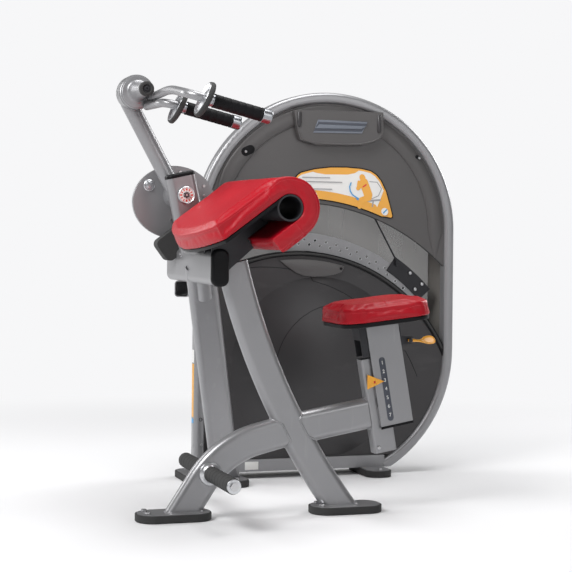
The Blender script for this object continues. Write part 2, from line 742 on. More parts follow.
@dataclass
class ElbowPad:
    """Sloping elbow pad that rolls over a tube at the user's side."""

    fitter: Fitter
    slope: float = 36.5
    roll: Point = (298.0, 973.0)
    outer: float = 100.0
    inner: float = 42.0
    half: float = 278.0
    side_end: float = 225.0
    nose_end: float = 283.0
    returned: float = 105.0

    def at(self, along: float, out: float, y: float) -> Vector:
        """Row point from a run down the slope, a height off it and a width, in millimetres."""
        turn = math.radians(self.slope)
        x = self.roll[0] - along * math.cos(turn) - out * math.sin(turn)
        z = self.roll[1] - along * math.sin(turn) + out * math.cos(turn)
        return at(x, y, z)

    def edge(self, height: float, y: float, back: float) -> list[Vector]:
        """Points of one side's edge, from the short return round the roll to the pad's corner."""
        points = [self.at(along, -height, y) for along in (self.returned - back, 50, 0)]
        for step in range(1, 12):
            turn = math.radians(-90 - 180 * step / 12)
            points.append(self.at(height * math.cos(turn), height * math.sin(turn), y))
        points += [self.at(along, height, y) for along in (0, 60, 120, 180, self.side_end)]
        return points

    def nose(self, height: float) -> list[Vector]:
        """Points of the bowed low end from the near to the far side."""
        bow = self.nose_end - self.side_end
        radius = (self.half ** 2 + bow ** 2) / (2 * bow)
        points = []
        for step in range(1, 20):
            y = -self.half + 2 * self.half * step / 20
            along = self.nose_end - radius + math.sqrt(radius ** 2 - y ** 2)
            points.append(self.at(along, height, y))
        return points

    def build(self) -> None:
        """Make the cushion with its seams, and dress its board, tube and bracket."""
        cushion = Cushion("arm_pad_cushion", "elbow_pad", self.fitter)
        skin = self.inner + 4.0

        def rests(point: Vector) -> bool:
            local = (point - FRONT_FOOT) / MM
            turn = math.radians(self.slope)
            dx, dz = local.x - self.roll[0], local.z - self.roll[1]
            along = -dx * math.cos(turn) - dz * math.sin(turn)
            out = -dx * math.sin(turn) + dz * math.cos(turn)
            return (math.hypot(along, out) < skin) if along < 0 else abs(out) < skin

        cushion.blow_up(rests)
        belt = self.outer - 9
        rim = (self.edge(belt, -self.half, 4) + self.nose(belt) + self.edge(belt, self.half, 4)[::-1])
        cushion.crease(rim, 2.6, 2.8)
        for side in (-1, 1):
            y = side * self.half
            corner = [self.at(self.side_end, height, y) for height in (self.outer - 6, self.inner + 2)]
            cushion.crease(corner, 3.2, 3.0)
            for along, sign in ((36, 1), (14, -1)):
                band = [self.at(along, sign * height, y) for height in (self.outer - 10, self.inner + 3)]
                cushion.crease(band, 1.7, 2.6)
                cushion.sew(f"elbow_pad_band_stitch_{'near' if side < 0 else 'far'}_{along}", band, 5.0, 0.5)
        inset = self.outer - 14
        lower_rim = (self.edge(inset, -self.half, 6) + self.nose(inset) + self.edge(inset, self.half, 6)[::-1])
        cushion.sew("elbow_pad_rim_stitch", lower_rim)
        cushion.finish()
        self.fitter.refine(Look.BLACK, 1.6, "arm_pad_board")
        self.fitter.refine(Look.BLACK_STEEL, 0.8, "arm_pad_bracket")
        self.fitter.keep(Look.BLACK_STEEL, "arm_pad_roll_tube")
        self._roll_lip()

    def _roll_lip(self) -> None:
        """Rolled steel lips at both ends of the roll tube."""
        for side, name in ((-1, "near"), (1, "far")):
            mouth = at(self.roll[0], side * (self.half - 9), self.roll[1])
            lip = Bench.turned(f"elbow_pad_tube_lip_{name}", mouth, Vector((0, side, 0)),
                               [(34.6, 0), (40.6, 0), (41.4, 1.2), (41.0, 2.6), (38.4, 3.4), (35.6, 2.6)],
                               ring=True)
            self.fitter.hang(lip, Look.BLACK_STEEL, "frame", "black_steel")


@dataclass
class Seat:
    """Height-adjustable seat: cushion, board, sleeve with a numbered scale, pointer and lever."""

    fitter: Fitter
    centre: Point = (683.0, 625.0)
    tilt: float = 6.5
    length: float = 316.0
    width: float = 296.0
    corner: float = 76.0
    thick: float = 54.0
    lean: float = 10.0
    face_y: float = -38.0

    def at(self, back: float, up: float, y: float) -> Vector:
        """Row point in the tilted plane of the seat."""
        along, rise = slant(self.tilt), slant(self.tilt + 90)
        return at(self.centre[0], y, self.centre[1]) + along * (back * MM) + rise * (up * MM)

    def rim(self, up: float) -> list[Vector]:
        """Closed outline of the seat at a height above its board."""
        points = []
        spans = ((1, 1, 0), (-1, 1, 90), (-1, -1, 180), (1, -1, 270))
        for sign_x, sign_y, start in spans:
            cx = sign_x * (self.length / 2 - self.corner)
            cy = sign_y * (self.width / 2 - self.corner)
            for step in range(13):
                turn = math.radians(start + 90 * step / 12)
                points.append(self.at(cx + self.corner * math.cos(turn), up, cy + self.corner * math.sin(turn)))
        return points + points[:1]

    def build(self) -> None:
        """Make the seat's pieces."""
        cushion = Cushion("seat_cushion", "seat_pad", self.fitter, voxel=0.005, cap=0.010, shrink=0.004)
        rise = slant(self.tilt + 90)
        base = at(self.centre[0], 0, self.centre[1])
        cushion.blow_up(lambda point: (point - base).dot(rise) < 0.005)
        cushion.crease(self.rim(self.thick - 15), 2.4, 3.0)
        cushion.sew("seat_pad_stitch", self.rim(self.thick - 19))
        cushion.finish()
        self.fitter.refine(Look.BLACK, 2.2, "seat_board")
        self.fitter.refine(Look.BLACK_STEEL, 1.0, "seat_bracket", "lever_bracket")
        self.fitter.refine(Look.SILVER, 2.0, "seat_sleeve")
        self.fitter.refine(Look.BLACK, 0.8, "seat_sleeve_end_cap")
        self.fitter.refine(Look.YELLOW, 1.6, "seat_pointer")
        self._scale()
        self._lever()
        self._fixings()

    def _scale(self) -> None:
        """Dark rounded strip with the seat heights as numbers, on the sleeve's near side."""
        up = slant(90 + self.lean)
        side = slant(self.lean)
        top = at(692.5, self.face_y, 481)
        outline = []
        for centre, start in ((top + up * 0.008, 0), (top - up * 0.180, 180)):
            for step in range(9):
                turn = math.radians(start + 180 * step / 8)
                outline.append(centre + side * (0.0105 * math.cos(turn)) + up * (0.0105 * math.sin(turn)))
        strip = Bench.plate("seat_scale_strip", outline, Vector((0, -0.0006, 0)), 0.2)
        self.fitter.hang(strip, Look.NIGHT_PRINT, "seat_carriage", "black_plastic")
        digits = []
        for index in range(7):
            Bench.pick()
            bpy.ops.object.text_add(location=(0, 0, 0))
            digit = bpy.context.object
            digit.data.body = str(index + 1)
            digit.data.size = 0.0165
            digit.data.align_x = "CENTER"
            digit.data.align_y = "CENTER"
            digit.data.extrude = 0.00025
            Bench.pick(digit)
            bpy.ops.object.convert(target="MESH")
            spot = top - up * (0.0285 * index) + Vector((0, -0.0009, 0))
            basis = Matrix((side, up, Vector((0, -1, 0)))).transposed().to_4x4()
            Bench.settle(digit, Matrix.Translation(spot) @ basis)
            digits.append(digit)
        self.fitter.hang(Bench.joined("seat_scale_numbers", digits), Look.WHITE_PRINT, "seat_carriage",
                         "black_plastic")

    def _lever(self) -> None:
        """Yellow release lever: slim stem that swells into a dished paddle, canted towards the user."""
        Bench.pick()
        bpy.ops.mesh.primitive_cube_add(size=1, location=(0, 0, 0))
        lever = bpy.context.object
        lever.name = "seat_release_paddle"
        Bench.settle(lever, Matrix.Diagonal((0.016, 0.015, 0.012, 1)))
        runs = ((12, 1.0, 0.8, -0.5), (14, 1.0, 0.85, -1.5), (10, 1.5, 0.9, -0.5), (12, 1.6, 1.05, 1.0),
                (13, 1.16, 1.0, 1.5), (11, 0.9, 1.0, 1.5), (8, 0.64, 0.8, 1.0))
        Bench.choose_faces(lever, lambda centre, normal: normal.x > 0.9)
        with Bench.editing(lever):
            for run, wide, high, lift in runs:
                bpy.ops.mesh.extrude_region_move(TRANSFORM_OT_translate={"value": (run * MM, 0, lift * MM)})
                bpy.ops.transform.resize(value=(1, wide, high))
        Bench.choose_faces(lever, lambda centre, normal: normal.z > 0.75 and centre.x > 0.040)
        with Bench.editing(lever):
            bpy.ops.mesh.inset(thickness=0.0036, depth=0)
            bpy.ops.transform.translate(value=(0, 0, -0.0050))
        Bench.modify(lever, "SUBSURF", levels=3, render_levels=3)
        Bench.outward(lever)
        turns = [vertex.co.copy() for vertex in lever.data.vertices]
        for vertex, point in zip(lever.data.vertices, turns):
            share = min(1.0, max(0.0, (point.x - 0.022) / 0.030))
            vertex.co = Matrix.Rotation(math.radians(38) * share, 4, "X") @ point
        Bench.settle(lever, Matrix.Translation(at(785, -44, 553)))
        Bench.smooth(lever, 180)
        self.fitter.stand_for(lever, Look.YELLOW, "seat_lever")

    def _fixings(self) -> None:
        """Bolt on the fixed post, rivets of the pointer and the lever's pin head."""
        near = Vector((0, -1, 0))
        bolt = Bench.turned("seat_post_bolt", at(690, -25, 206), near,
                            [(6.5, 0), (6.5, 1.4), (5.6, 3.4), (3.6, 4.4), (3.4, 2.4), (0.6, 2.2)])
        self.fitter.hang(bolt, Look.ZINC, "frame", "bright_steel")
        rivet = Bench.turned("seat_pointer_rivet", at(665, -43, 419.5), near,
                             [(3.4, 0), (3.4, 1.0), (2.6, 1.8), (1.6, 2.0), (1.4, 0.8), (0.3, 0.7)], sides=32)
        self.fitter.hang(rivet, Look.RED_PRINT, "frame", "yellow_plastic")
        pin = Bench.turned("seat_lever_pin_head", at(785, -53, 553), near,
                           [(7.0, 0), (7.2, 1.0), (6.2, 2.6), (3.0, 3.4), (0.4, 3.5)], sides=32)
        self.fitter.hang(pin, Look.BLACK_STEEL, "seat_carriage", "black_steel")


# ------------------------------------------------------------------ frame and feet
@dataclass
class StandingFrame:
    """Bent flat-oval tubes, their weld beads, feet and foot pegs."""

    fitter: Fitter
    peg: Point = (126.0, 143.0)
    peg_half: float = 283.0

    def build(self) -> None:
        """Make the frame's pieces."""
        fit = self.fitter
        fit.keep(Look.SILVER, "front_leg_tube", "front_post_tube", "rear_brace_tube", "head_cross_tube",
                 "tower_link_tube", "seat_support_tube", "seat_post", "tower_base_beam")
        fit.keep(Look.ZINC, "foot_peg_bar", "pivot_shaft", "weight_shaft")
        fit.keep(Look.BLACK, "head_tube_end_cap", "pivot_housing_cap")
        fit.keep(Look.SILVER, "pivot_housing")
        fit.refine(Look.SILVER, 1.2, "foot_plates")
        fit.refine(Look.RUBBER, 2.5, "foot_pads")
        fit.refine(Look.RUBBER, 1.5, "arm_stop_bumper")
        fit.refine(Look.ZINC, 0.6, "frame_bolts", "cam_bolts")
        self._welds()
        self._pegs()

    def _welds(self) -> None:
        """Weld beads where one tube ends on another."""
        pairs = (("front_leg_tube", "front_post_tube"), ("seat_support_tube", "front_post_tube"),
                 ("seat_support_tube", "seat_post"), ("tower_link_tube", "head_cross_tube"),
                 ("pivot_housing", "head_cross_tube"))
        for tube, wall in pairs:
            self._bead(tube, wall, 3.2)
        for tube in ("front_leg_tube", "front_post_tube", "rear_brace_tube", "tower_hoop_tube"):
            self._bead(tube, "foot_plates", 2.8)

    def _bead(self, tube: str, wall: str, radius: float) -> None:
        """One bead along the end of a tube that lies on a wall."""
        piece = self.fitter.copy_of(tube)
        mesh = frame["nodes"][wall].data
        tree = BVHTree.FromPolygons([v.co for v in mesh.vertices], [tuple(p.vertices) for p in mesh.polygons])
        body = piece.data
        near = [tree.find_nearest(v.co, 0.0008)[0] is not None for v in body.vertices]
        sharp = self._sharp_edges(body)
        body.polygons.foreach_set("select", [False] * len(body.polygons))
        body.vertices.foreach_set("select", [False] * len(body.vertices))
        for edge in body.edges:
            edge.select = edge.index in sharp and all(near[index] for index in edge.vertices)
        with Bench.editing(piece, "EDGE"):
            bpy.ops.mesh.select_all(action="INVERT")
            bpy.ops.mesh.delete(type="EDGE")
        with Bench.editing(piece, "EDGE"):
            bpy.ops.mesh.select_all(action="SELECT")
            bpy.ops.mesh.delete(type="ONLY_FACE")
        if not piece.data.edges:
            LOG.warning("no weld edge between %s and %s", tube, wall)
            bpy.data.objects.remove(piece)
            return
        Bench.pick(piece)
        bpy.ops.object.convert(target="CURVE")
        piece.data.bevel_depth = radius * MM
        piece.data.bevel_resolution = 2
        bpy.ops.object.convert(target="MESH")
        piece.name = f"weld_{tube}_to_{wall}"
        Bench.smooth(piece, 70)
        self.fitter.hang(piece, Look.SILVER, "frame", "frame_paint")

    @staticmethod
    def _sharp_edges(mesh: bpy.types.Mesh) -> set[int]:
        """Edges whose faces meet at more than 30 degrees."""
        normals: dict[tuple[int, int], list[Vector]] = {}
        for face in mesh.polygons:
            for key in face.edge_keys:
                normals.setdefault(key, []).append(face.normal.copy())
        limit = math.cos(math.radians(30))
        sharp = {key for key, pair in normals.items() if len(pair) == 2 and pair[0].dot(pair[1]) < limit}
        return {edge.index for edge in mesh.edges if edge.key in sharp}

    def _pegs(self) -> None:
        """Rubber pegs with moulded rings, flanges and hex-headed ends."""
        sleeves, flanges, washers = [], [], []
        for side, name in ((-1, "near"), (1, "far")):
            out = Vector((0, side, 0))
            root = at(self.peg[0], side * 25, self.peg[1])
            profile = [(24.0, 9.5), (24.5, 11)]
            for groove in range(7):
                start = 40 + groove * 30
                profile += [(24.5, start), (23.7, start + 1), (23.7, start + 3), (24.5, start + 4)]
            profile += [(24.5, 255), (23.4, 257.4), (16.0, 257.8)]
            sleeves.append(Bench.turned(f"peg_sleeve_{name}", root, out, profile))
            flanges.append(Bench.turned(f"peg_flange_{name}", root, out,
                                        [(37.0, -1), (37.0, 2), (35.5, 5.5), (31.5, 7.5), (27.5, 9.5), (24.8, 14),
                                         (24.4, 14), (24.4, 9)], ring=False))
            end = at(self.peg[0], side * self.peg_half, self.peg[1])
            washers.append(Bench.turned(f"peg_washer_{name}", end, out,
                                        [(20.0, 0), (22.2, 1.0), (22.2, 4.0), (20.8, 6.0), (15.0, 6.2)]))
        fit = self.fitter
        fit.stand_for(Bench.joined("foot_peg_sleeves", sleeves), Look.RUBBER, "foot_peg_grips")
        fit.stand_for(Bench.joined("foot_peg_rings", flanges + washers), Look.ALUMINIUM, "foot_peg_flanges")
        recesses = []
        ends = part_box("foot_peg_bar")
        for side in (-1, 1):
            face = Vector((ends[0].x + ends[1].x, 0, ends[0].z + ends[1].z)) / 2
            face.y = ends[0].y if side < 0 else ends[1].y
            recesses.append(Bench.turned("peg_recess", face, Vector((0, side, 0)),
                                         [(10.5, -0.4), (10.5, 0.5), (9.8, 0.9), (8.2, 0.5), (0.5, 0.4)], sides=6,
                                         soften=0.3))
        fit.hang(Bench.joined("foot_peg_recesses", recesses), Look.BLACK, "frame", "black_plastic")


# ------------------------------------------------------------------ exercise arm
@dataclass
class ExerciseArm:
    """Swinging arm, cam, pivot dial and hub."""

    fitter: Fitter
    pivot: Point = (122.0, 1018.0)
    hub: Point = (-34.0, 1358.0)
    cam_face: float = 490.0

    def build(self) -> None:
        """Make the arm's pieces."""
        fit = self.fitter
        fit.keep(Look.SILVER, "arm_tube")
        fit.refine(Look.SILVER, 1.5, "cam_disc")
        self._hub()
        self._dial()
        self._cam_boss()
        cap = Bench.turned("arm_screw", at(-57, 392.6, 1322), Vector((0, -1, 0)),
                           [(5.0, -1), (5.0, 1.2), (4.0, 2.4), (1.6, 2.6), (1.5, 1.4), (0.2, 1.3)], sides=28)
        fit.hang(cap, Look.ZINC, "exercise_arm", "bright_steel")

    def _hub(self) -> None:
        """Hub barrel with a shadow groove between its cap and body."""
        profile = [(13.0, 0), (50.0, 0), (56.0, 2.2), (57.5, 6.5), (57.5, 14.5), (56.2, 15.3), (56.2, 17.3),
                   (57.5, 18.1), (57.5, 70), (56.6, 76), (53.0, 81.4), (47.0, 84), (13.0, 84)]
        hub = Bench.turned("arm_hub_barrel", at(self.hub[0], 346, self.hub[1]), Vector((0, 1, 0)), profile,
                           sides=96, ring=True)
        self.fitter.stand_for(hub, Look.SILVER, "arm_hub")
        seam = Bench.turned("arm_hub_seam", at(self.hub[0], 346, self.hub[1]), Vector((0, 1, 0)),
                            [(55.8, 14.6), (57.9, 14.9), (58.3, 16.3), (57.9, 17.7), (55.8, 18.0)], sides=96, ring=True)
        self.fitter.hang(seam, Look.RUBBER, "exercise_arm", "rubber")

    def _dial(self) -> None:
        """Chrome bezel, white dial with red marks and a hex bolt at the pivot."""
        near = Vector((0, -1, 0))
        centre = at(self.pivot[0], 298, self.pivot[1])
        fit = self.fitter
        bezel = Bench.turned("pivot_bezel", centre, near, [(24.6, -1), (28.6, -1), (29.2, 4.0), (28.2, 8.2),
                                                           (26.4, 9.6), (24.8, 8.4)], sides=72, ring=True)
        fit.hang(bezel, Look.ALUMINIUM, "exercise_arm", "chrome_trim")
        face = Bench.turned("pivot_dial", centre, near,
                            [(10.0, 5.0), (25.0, 5.0), (25.0, 7.6), (24.0, 8.0), (10.6, 7.6)], sides=72, ring=True)
        fit.hang(face, Look.WHITE_PRINT, "exercise_arm", "placard_print")
        marks = []
        for index in range(12):
            turn = 360 / 12 * index
            radial, across = slant(turn), slant(turn + 90)
            middle = centre + near * (7.75 * MM) + radial * (18.5 * MM)
            wide = 2.0 if index % 3 else 3.4
            corners = [middle + radial * (a * MM) + across * (b * MM)
                       for a, b in ((-3.6, -wide * 0.7), (3.6, -wide), (3.6, wide), (-3.6, wide * 0.7))]
            marks.append(Bench.plate(f"pivot_mark_{index}", corners, near * (0.35 * MM), 0.0))
        fit.hang(Bench.joined("pivot_dial_marks", marks), Look.RED_PRINT, "exercise_arm", "placard_print")
        bolt = Bench.turned("pivot_bolt_washer", centre, near,
                            [(0.5, 5), (11.6, 5), (11.6, 8.4), (10.6, 9.2), (9.0, 9.4), (9.0, 13.0), (7.6, 14.6),
                             (4.6, 15.0), (4.4, 11.4), (0.5, 11.2)], sides=6, soften=0.5)
        fit.hang(bolt, Look.BLACK_STEEL, "exercise_arm", "bright_steel")

    def _cam_boss(self) -> None:
        """Domed plug on the cam's near face."""
        boss = Bench.turned("cam_boss", at(self.pivot[0] - 79.6, self.cam_face, self.pivot[1] + 35), Vector((0, -1, 0)),
                            [(19.5, -1), (19.5, 1.6), (17.6, 3.2), (14.0, 3.4), (13.4, 6.8), (11.0, 9.6), (6.0, 10.8),
                             (0.8, 11.0)], sides=56)
        self.fitter.hang(boss, Look.ALUMINIUM, "exercise_arm", "bright_steel")


@dataclass
class Handles:
    """Turning barrel, bent tubes, dished hand stops and rubber grips."""

    fitter: Fitter
    hub: Point = (-34.0, 1358.0)
    slope: float = 13.8
    start: Point = (83.0, 1296.0)
    length: float = 160.0
    half: float = 165.0
    cant: float = 25.0
    stop_centre: Point = (49.0, 1302.5)

    def build(self) -> None:
        """Make the handles' pieces."""
        self.fitter.keep(Look.SILVER, "near_handle_tube", "far_handle_tube")
        self._barrel()
        self._stops()
        self._grips()

    def _barrel(self) -> None:
        """Flared barrel, rubber end ring and socket bolt."""
        fit = self.fitter
        away = Vector((0, -1, 0))
        root = at(self.hub[0], 345.7, self.hub[1])
        barrel = Bench.turned("handle_barrel_flared", root, away,
                              [(50.0, 0), (50.0, 2.0), (52.6, 2.4), (53.4, 4), (52.8, 6.4), (50.6, 7.4), (41.0, 8.2),
                               (37.0, 10), (33.6, 14), (30.0, 24), (26.8, 36), (24.9, 48), (24.2, 60), (24.0, 119.5),
                               (14.0, 119.6)], sides=96)
        fit.stand_for(barrel, Look.SILVER, "handle_barrel")
        ring = Bench.turned("handle_rubber_ring", at(self.hub[0], 226, self.hub[1]), away,
                            [(12.0, 0), (23.6, 0), (24.5, 1.2), (24.5, 11.0), (23.2, 14.0), (20.4, 15.0), (15.4, 15.0),
                             (13.6, 13.0), (12.0, 10.0)], sides=72, ring=True)
        fit.stand_for(ring, Look.RUBBER, "handle_end_ring")
        head = Bench.turned("handle_end_bolt", at(self.hub[0], 222, self.hub[1]), away,
                            [(12.5, 0), (12.5, 5.5), (11.6, 7.0), (8.2, 7.6), (7.6, 10.4), (6.6, 11.4), (3.6, 11.6),
                             (3.4, 7.4), (0.5, 7.2)], sides=48)
        fit.hang(head, Look.BLACK_STEEL, "handle_assembly", "bright_steel")

    def _stops(self) -> None:
        """Dished cast discs with a rolled rubber rim."""
        normal = slant(-self.cant)
        dishes, rims = [], []
        for side, name in ((-1, "near"), (1, "far")):
            centre = at(self.stop_centre[0], side * self.half, self.stop_centre[1])
            dishes.append(Bench.turned(f"hand_stop_{name}", centre, normal,
                                       [(4.0, 0.4), (20.0, 1.4), (34.0, 5.0), (42.0, 4.6), (47.6, 0.8), (50.4, 0.2),
                                        (51.6, 2.0), (50.0, 6.4), (38.0, 8.0), (4.0, 8.2)], sides=80, ring=True))
            rims.append(Bench.turned(f"hand_stop_rim_{name}", centre, normal,
                                     [(49.4, 4.4), (50.8, 1.8), (53.4, 0.6), (56.0, 2.2), (58.0, 7.0), (58.4, 11.6),
                                      (56.4, 16.4), (52.0, 18.4), (44.0, 18.0), (24.0, 14.2), (14.2, 12.6), (14.2, 8.4),
                                      (44.0, 8.2)], sides=80, ring=True))
        fit = self.fitter
        fit.stand_for(Bench.joined("hand_stop_dishes", dishes), Look.ALUMINIUM, "hand_stops")
        fit.stand_for(Bench.joined("hand_stop_rubber", rims), Look.RUBBER, "hand_stop_rims")

    def _grips(self) -> None:
        """Rubber sleeves with end beads, chrome collars and chamfered end caps."""
        fit = self.fitter
        along = slant(-self.slope)
        chrome = []
        for side, name in ((-1, "near"), (1, "far")):
            start = at(self.start[0], side * self.half, self.start[1])
            profile = [(14.3, 0), (20.0, 0), (21.6, 1.0), (22.0, 3.5), (21.6, 6.0), (20.4, 7.0)]
            for band in range(6):
                run = 8 + band * 24
                profile += [(20.6, run), (21.4, run + 2.5), (21.4, run + 20), (20.6, run + 22.5)]
            profile += [(20.4, 153), (21.6, 154), (22.0, 156.5), (21.6, 159), (20.0, 160), (14.3, 160)]
            sleeve = Bench.turned(f"{name}_grip_sleeve", start, along, profile, sides=64, ring=True)
            fit.stand_for(sleeve, Look.GRIP, f"{name}_hand_grip")
            chrome.append(Bench.turned(f"collar_{name}", start, along,
                                       [(14.4, -17), (18.4, -17), (20.2, -15.6), (20.2, -4), (18.8, -2.6), (18.8, 0),
                                        (14.4, 0)], sides=64, ring=True))
            chrome.append(Bench.turned(f"end_cap_{name}", start + along * (self.length * MM), along,
                                       [(14.4, 0), (21.0, 0), (22.2, 1.0), (22.2, 24), (21.8, 26.4), (20.2, 28.8),
                                        (17.4, 30), (15.6, 29.6), (13.6, 22.4), (3.0, 21.8), (0.6, 21.8)], sides=64))
        fit.stand_for(Bench.joined("grip_chrome", chrome), Look.CHROME, "grip_collars")


# ------------------------------------------------------------------ weight tower
@dataclass
class Tower:
    """Stadium-shaped weight tower: hoop, panels, window, placard and selector."""

    fitter: Fitter
    middle: float = 775.0
    low: float = 458.0
    high: float = 908.0
    radius: float = 505.0
    hoop: float = 40.0
    face: float = 724.0
    fan: Point = (662.0, 178.0)
    roll_inset: float = 36.0
    roll_radius: float = 30.0
    roll_rise: float = 0.30
    arc_face: float = 796.0
    hole_rows: Point = (694.0, 676.5)
    hole_count: int = 14
    hole_first: float = 47.2
    hole_step: float = 3.55
    placard_foot: float = 842.0
    field_foot: float = 866.0

    def sweep(self, radius: float, start: float, end: float, count: int) -> list[Point]:
        """Design points along a circle about the weight arm's axis."""
        turns = [math.radians(turn) for turn in np.linspace(start, end, count)]
        return [(self.fan[0] + radius * math.cos(turn), self.fan[1] + radius * math.sin(turn)) for turn in turns]

    def build(self) -> None:
        """Make the tower's pieces."""
        fit = self.fitter
        fit.keep(Look.SILVER, "tower_hoop_tube")
        fit.keep(Look.SHELL, "rear_shell")
        fit.keep(Look.SMOKED, "rear_window_panel")
        fit.keep(Look.BLACK, "window_trim")
        fit.keep(Look.COVER, "lower_front_cover")
        fit.refine(Look.PANEL, 0.9, "upper_front_panel")
        fit.refine(Look.BLACK_STEEL, 0.8, "weight_arm_hub", "arc_end_plate")
        fit.keep(Look.BLACK_STEEL, "pull_rod")
        fit.refine(Look.IRON, 1.5, "weight_plates")
        fit.refine(Look.SILVER, 0.5, "selector_arc_plate")
        self._rolled_edge()
        self._window_bead()
        self._cover_seams()
        self._nameplate()
        self._placard()
        self._clips()
        self._selector()
        self._side_labels()

    def _stadium(self, inset: float, y: float, start: float, end: float, floor: float) -> list[Vector]:
        """Path inside the hoop from the left side over the top and down the right side."""
        centre = (self.middle, self.high)
        reach = self.radius - inset
        points = [around(centre, reach, turn, y) for turn in np.linspace(start, end, 60)]
        if end == 0:
            points += [at(self.middle + reach, y, z) for z in np.linspace(self.high, floor, 9)[1:]]
        return points

    def _rolled_edge(self) -> None:
        """Soft raised roll pressed into the panel just inside the hoop."""
        path = Bench.line("panel_roll", self._stadium(self.hoop + self.roll_inset, self.face - 0.5, 175.5, 0, 805))
        knots = path.data.splines[0].points
        for index, knot in enumerate(knots):
            knot.radius = min(1.0, 0.12 + min(index, len(knots) - 1 - index) / 9)
        path.data.bevel_depth = self.roll_radius * MM
        path.data.bevel_resolution = 10
        path.data.use_fill_caps = True
        Bench.pick(path)
        bpy.ops.object.convert(target="MESH")
        Bench.outward(path)
        origin = FRONT_FOOT.y + self.face * MM
        squash = Matrix.Diagonal((1, self.roll_rise, 1, 1))
        Bench.settle(path, Matrix.Translation((0, origin, 0)) @ squash @ Matrix.Translation((0, -origin, 0)))
        with Bench.editing(path):
            bpy.ops.mesh.select_all(action="SELECT")
            bpy.ops.mesh.bisect(plane_co=(0, origin, 0), plane_no=(0, 1, 0), clear_outer=True, use_fill=True)
        Bench.smooth(path, 60)
        self.fitter.hang(path, Look.PANEL, "frame", "panel_plastic")

    def _window_bead(self) -> None:
        """Black rubber bead along the window's upper edge, and a slim one on the trim."""
        fit = self.fitter
        upper = [around(self.fan, 829, turn, self.face + 2) for turn in np.linspace(115.2, 46.2, 70)]
        fit.hang(Bench.bead("window_upper_bead", upper, 2.6), Look.RUBBER, "frame", "rubber")
        lower = [around(self.fan, 641, turn, self.face - 6) for turn in np.linspace(122.5, 26.5, 80)]
        fit.hang(Bench.bead("window_lower_bead", lower, 4.2), Look.RUBBER, "frame", "rubber")

    def _cover_seams(self) -> None:
        """Fine joint lines and a finger recess on the domed lower cover."""
        fit = self.fitter
        cover = frame["nodes"]["lower_front_cover"]
        arcs = (("cover_joint_outer", (528.0, 112.0), 657.0, 96, 22),
                ("cover_joint_inner", (817.0, 384.0), 260.0, 168, 40))
        for name, centre, radius, start, end in arcs:
            points = [around(centre, radius, turn, 655) for turn in np.linspace(start, end, 70)]
            fit.hang(Bench.bead(name, points, 1.0, onto=cover, sides=2), Look.BLACK, "frame", "black_plastic")
        outline = [around(self.fan, 620, turn, 716) for turn in np.linspace(97, 73.5, 16)]
        outline += [at(x, 716, z) for x, z in ((828, 752), (800, 742), (760, 736), (720, 734), (680, 738), (650, 748),
                                               (620, 768))]
        recess = Bench.plate("cover_recess", outline, Vector((0, -0.0025, 0)), 1.0)
        fit.hang(recess, Look.PANEL, "frame", "panel_plastic")
        slot = Bench.turned("cover_recess_slot", at(824, 713.4, 764), Vector((0, -1, 0)),
                            [(5.2, 0), (5.2, 0.8), (4.2, 1.2), (2.0, 0.6), (0.4, 0.6)], sides=28)
        fit.hang(slot, Look.BLACK, "frame", "black_plastic")

    def _nameplate(self) -> None:
        """Carrier at the head of the tower with two ribs, a lower lip and a plain slanted badge."""
        fit = self.fitter
        fit.refine(Look.PANEL, 2.5, "nameplate")
        face = (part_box("nameplate")[0].y - FRONT_FOOT.y) / MM
        tiers = (("nameplate_badge", Look.BADGE, 2.0, 0.0), ("nameplate_badge_face", Look.NIGHT_PRINT, 1.6, 7.0),
                 ("nameplate_badge_bar", Look.BADGE, 1.4, 17.0))
        corners = ((704, 1262), (722, 1310), (916, 1308), (894, 1264))
        for level, (name, look, thick, inset) in enumerate(tiers):
            badge = self._sheet(name, corners, face - level * 2.0, thick, inset)
            Bench.modify(badge, "BEVEL", width=0.0012, segments=3, limit_method="ANGLE")
            fit.hang(badge, look, "frame", "panel_plastic")
        ribs = []
        for x, low, high in ((650, 1290, 1338), (963, 1276, 1336)):
            rib = Bench.turned("rib", at(x, face + 2, low), Vector((0, 0, 1)),
                               [(2.0, -9), (6.0, -7), (8.5, 0), (9.0, 6), (9.0, high - low - 3), (7.0, high - low)],
                               sides=28)
            ribs.append(rib)
        fit.hang(Bench.joined("nameplate_ribs", ribs), Look.COVER, "frame", "panel_plastic")
        lip = [at(x, face + 1.5, z) for x, z in ((652, 1262), (660, 1240), (690, 1229), (740, 1224), (810, 1222),
                                                 (880, 1224), (935, 1235), (962, 1247), (974, 1266))]
        fit.hang(Bench.bead("nameplate_lip", lip, 3.0), Look.PANEL, "frame", "panel_plastic")

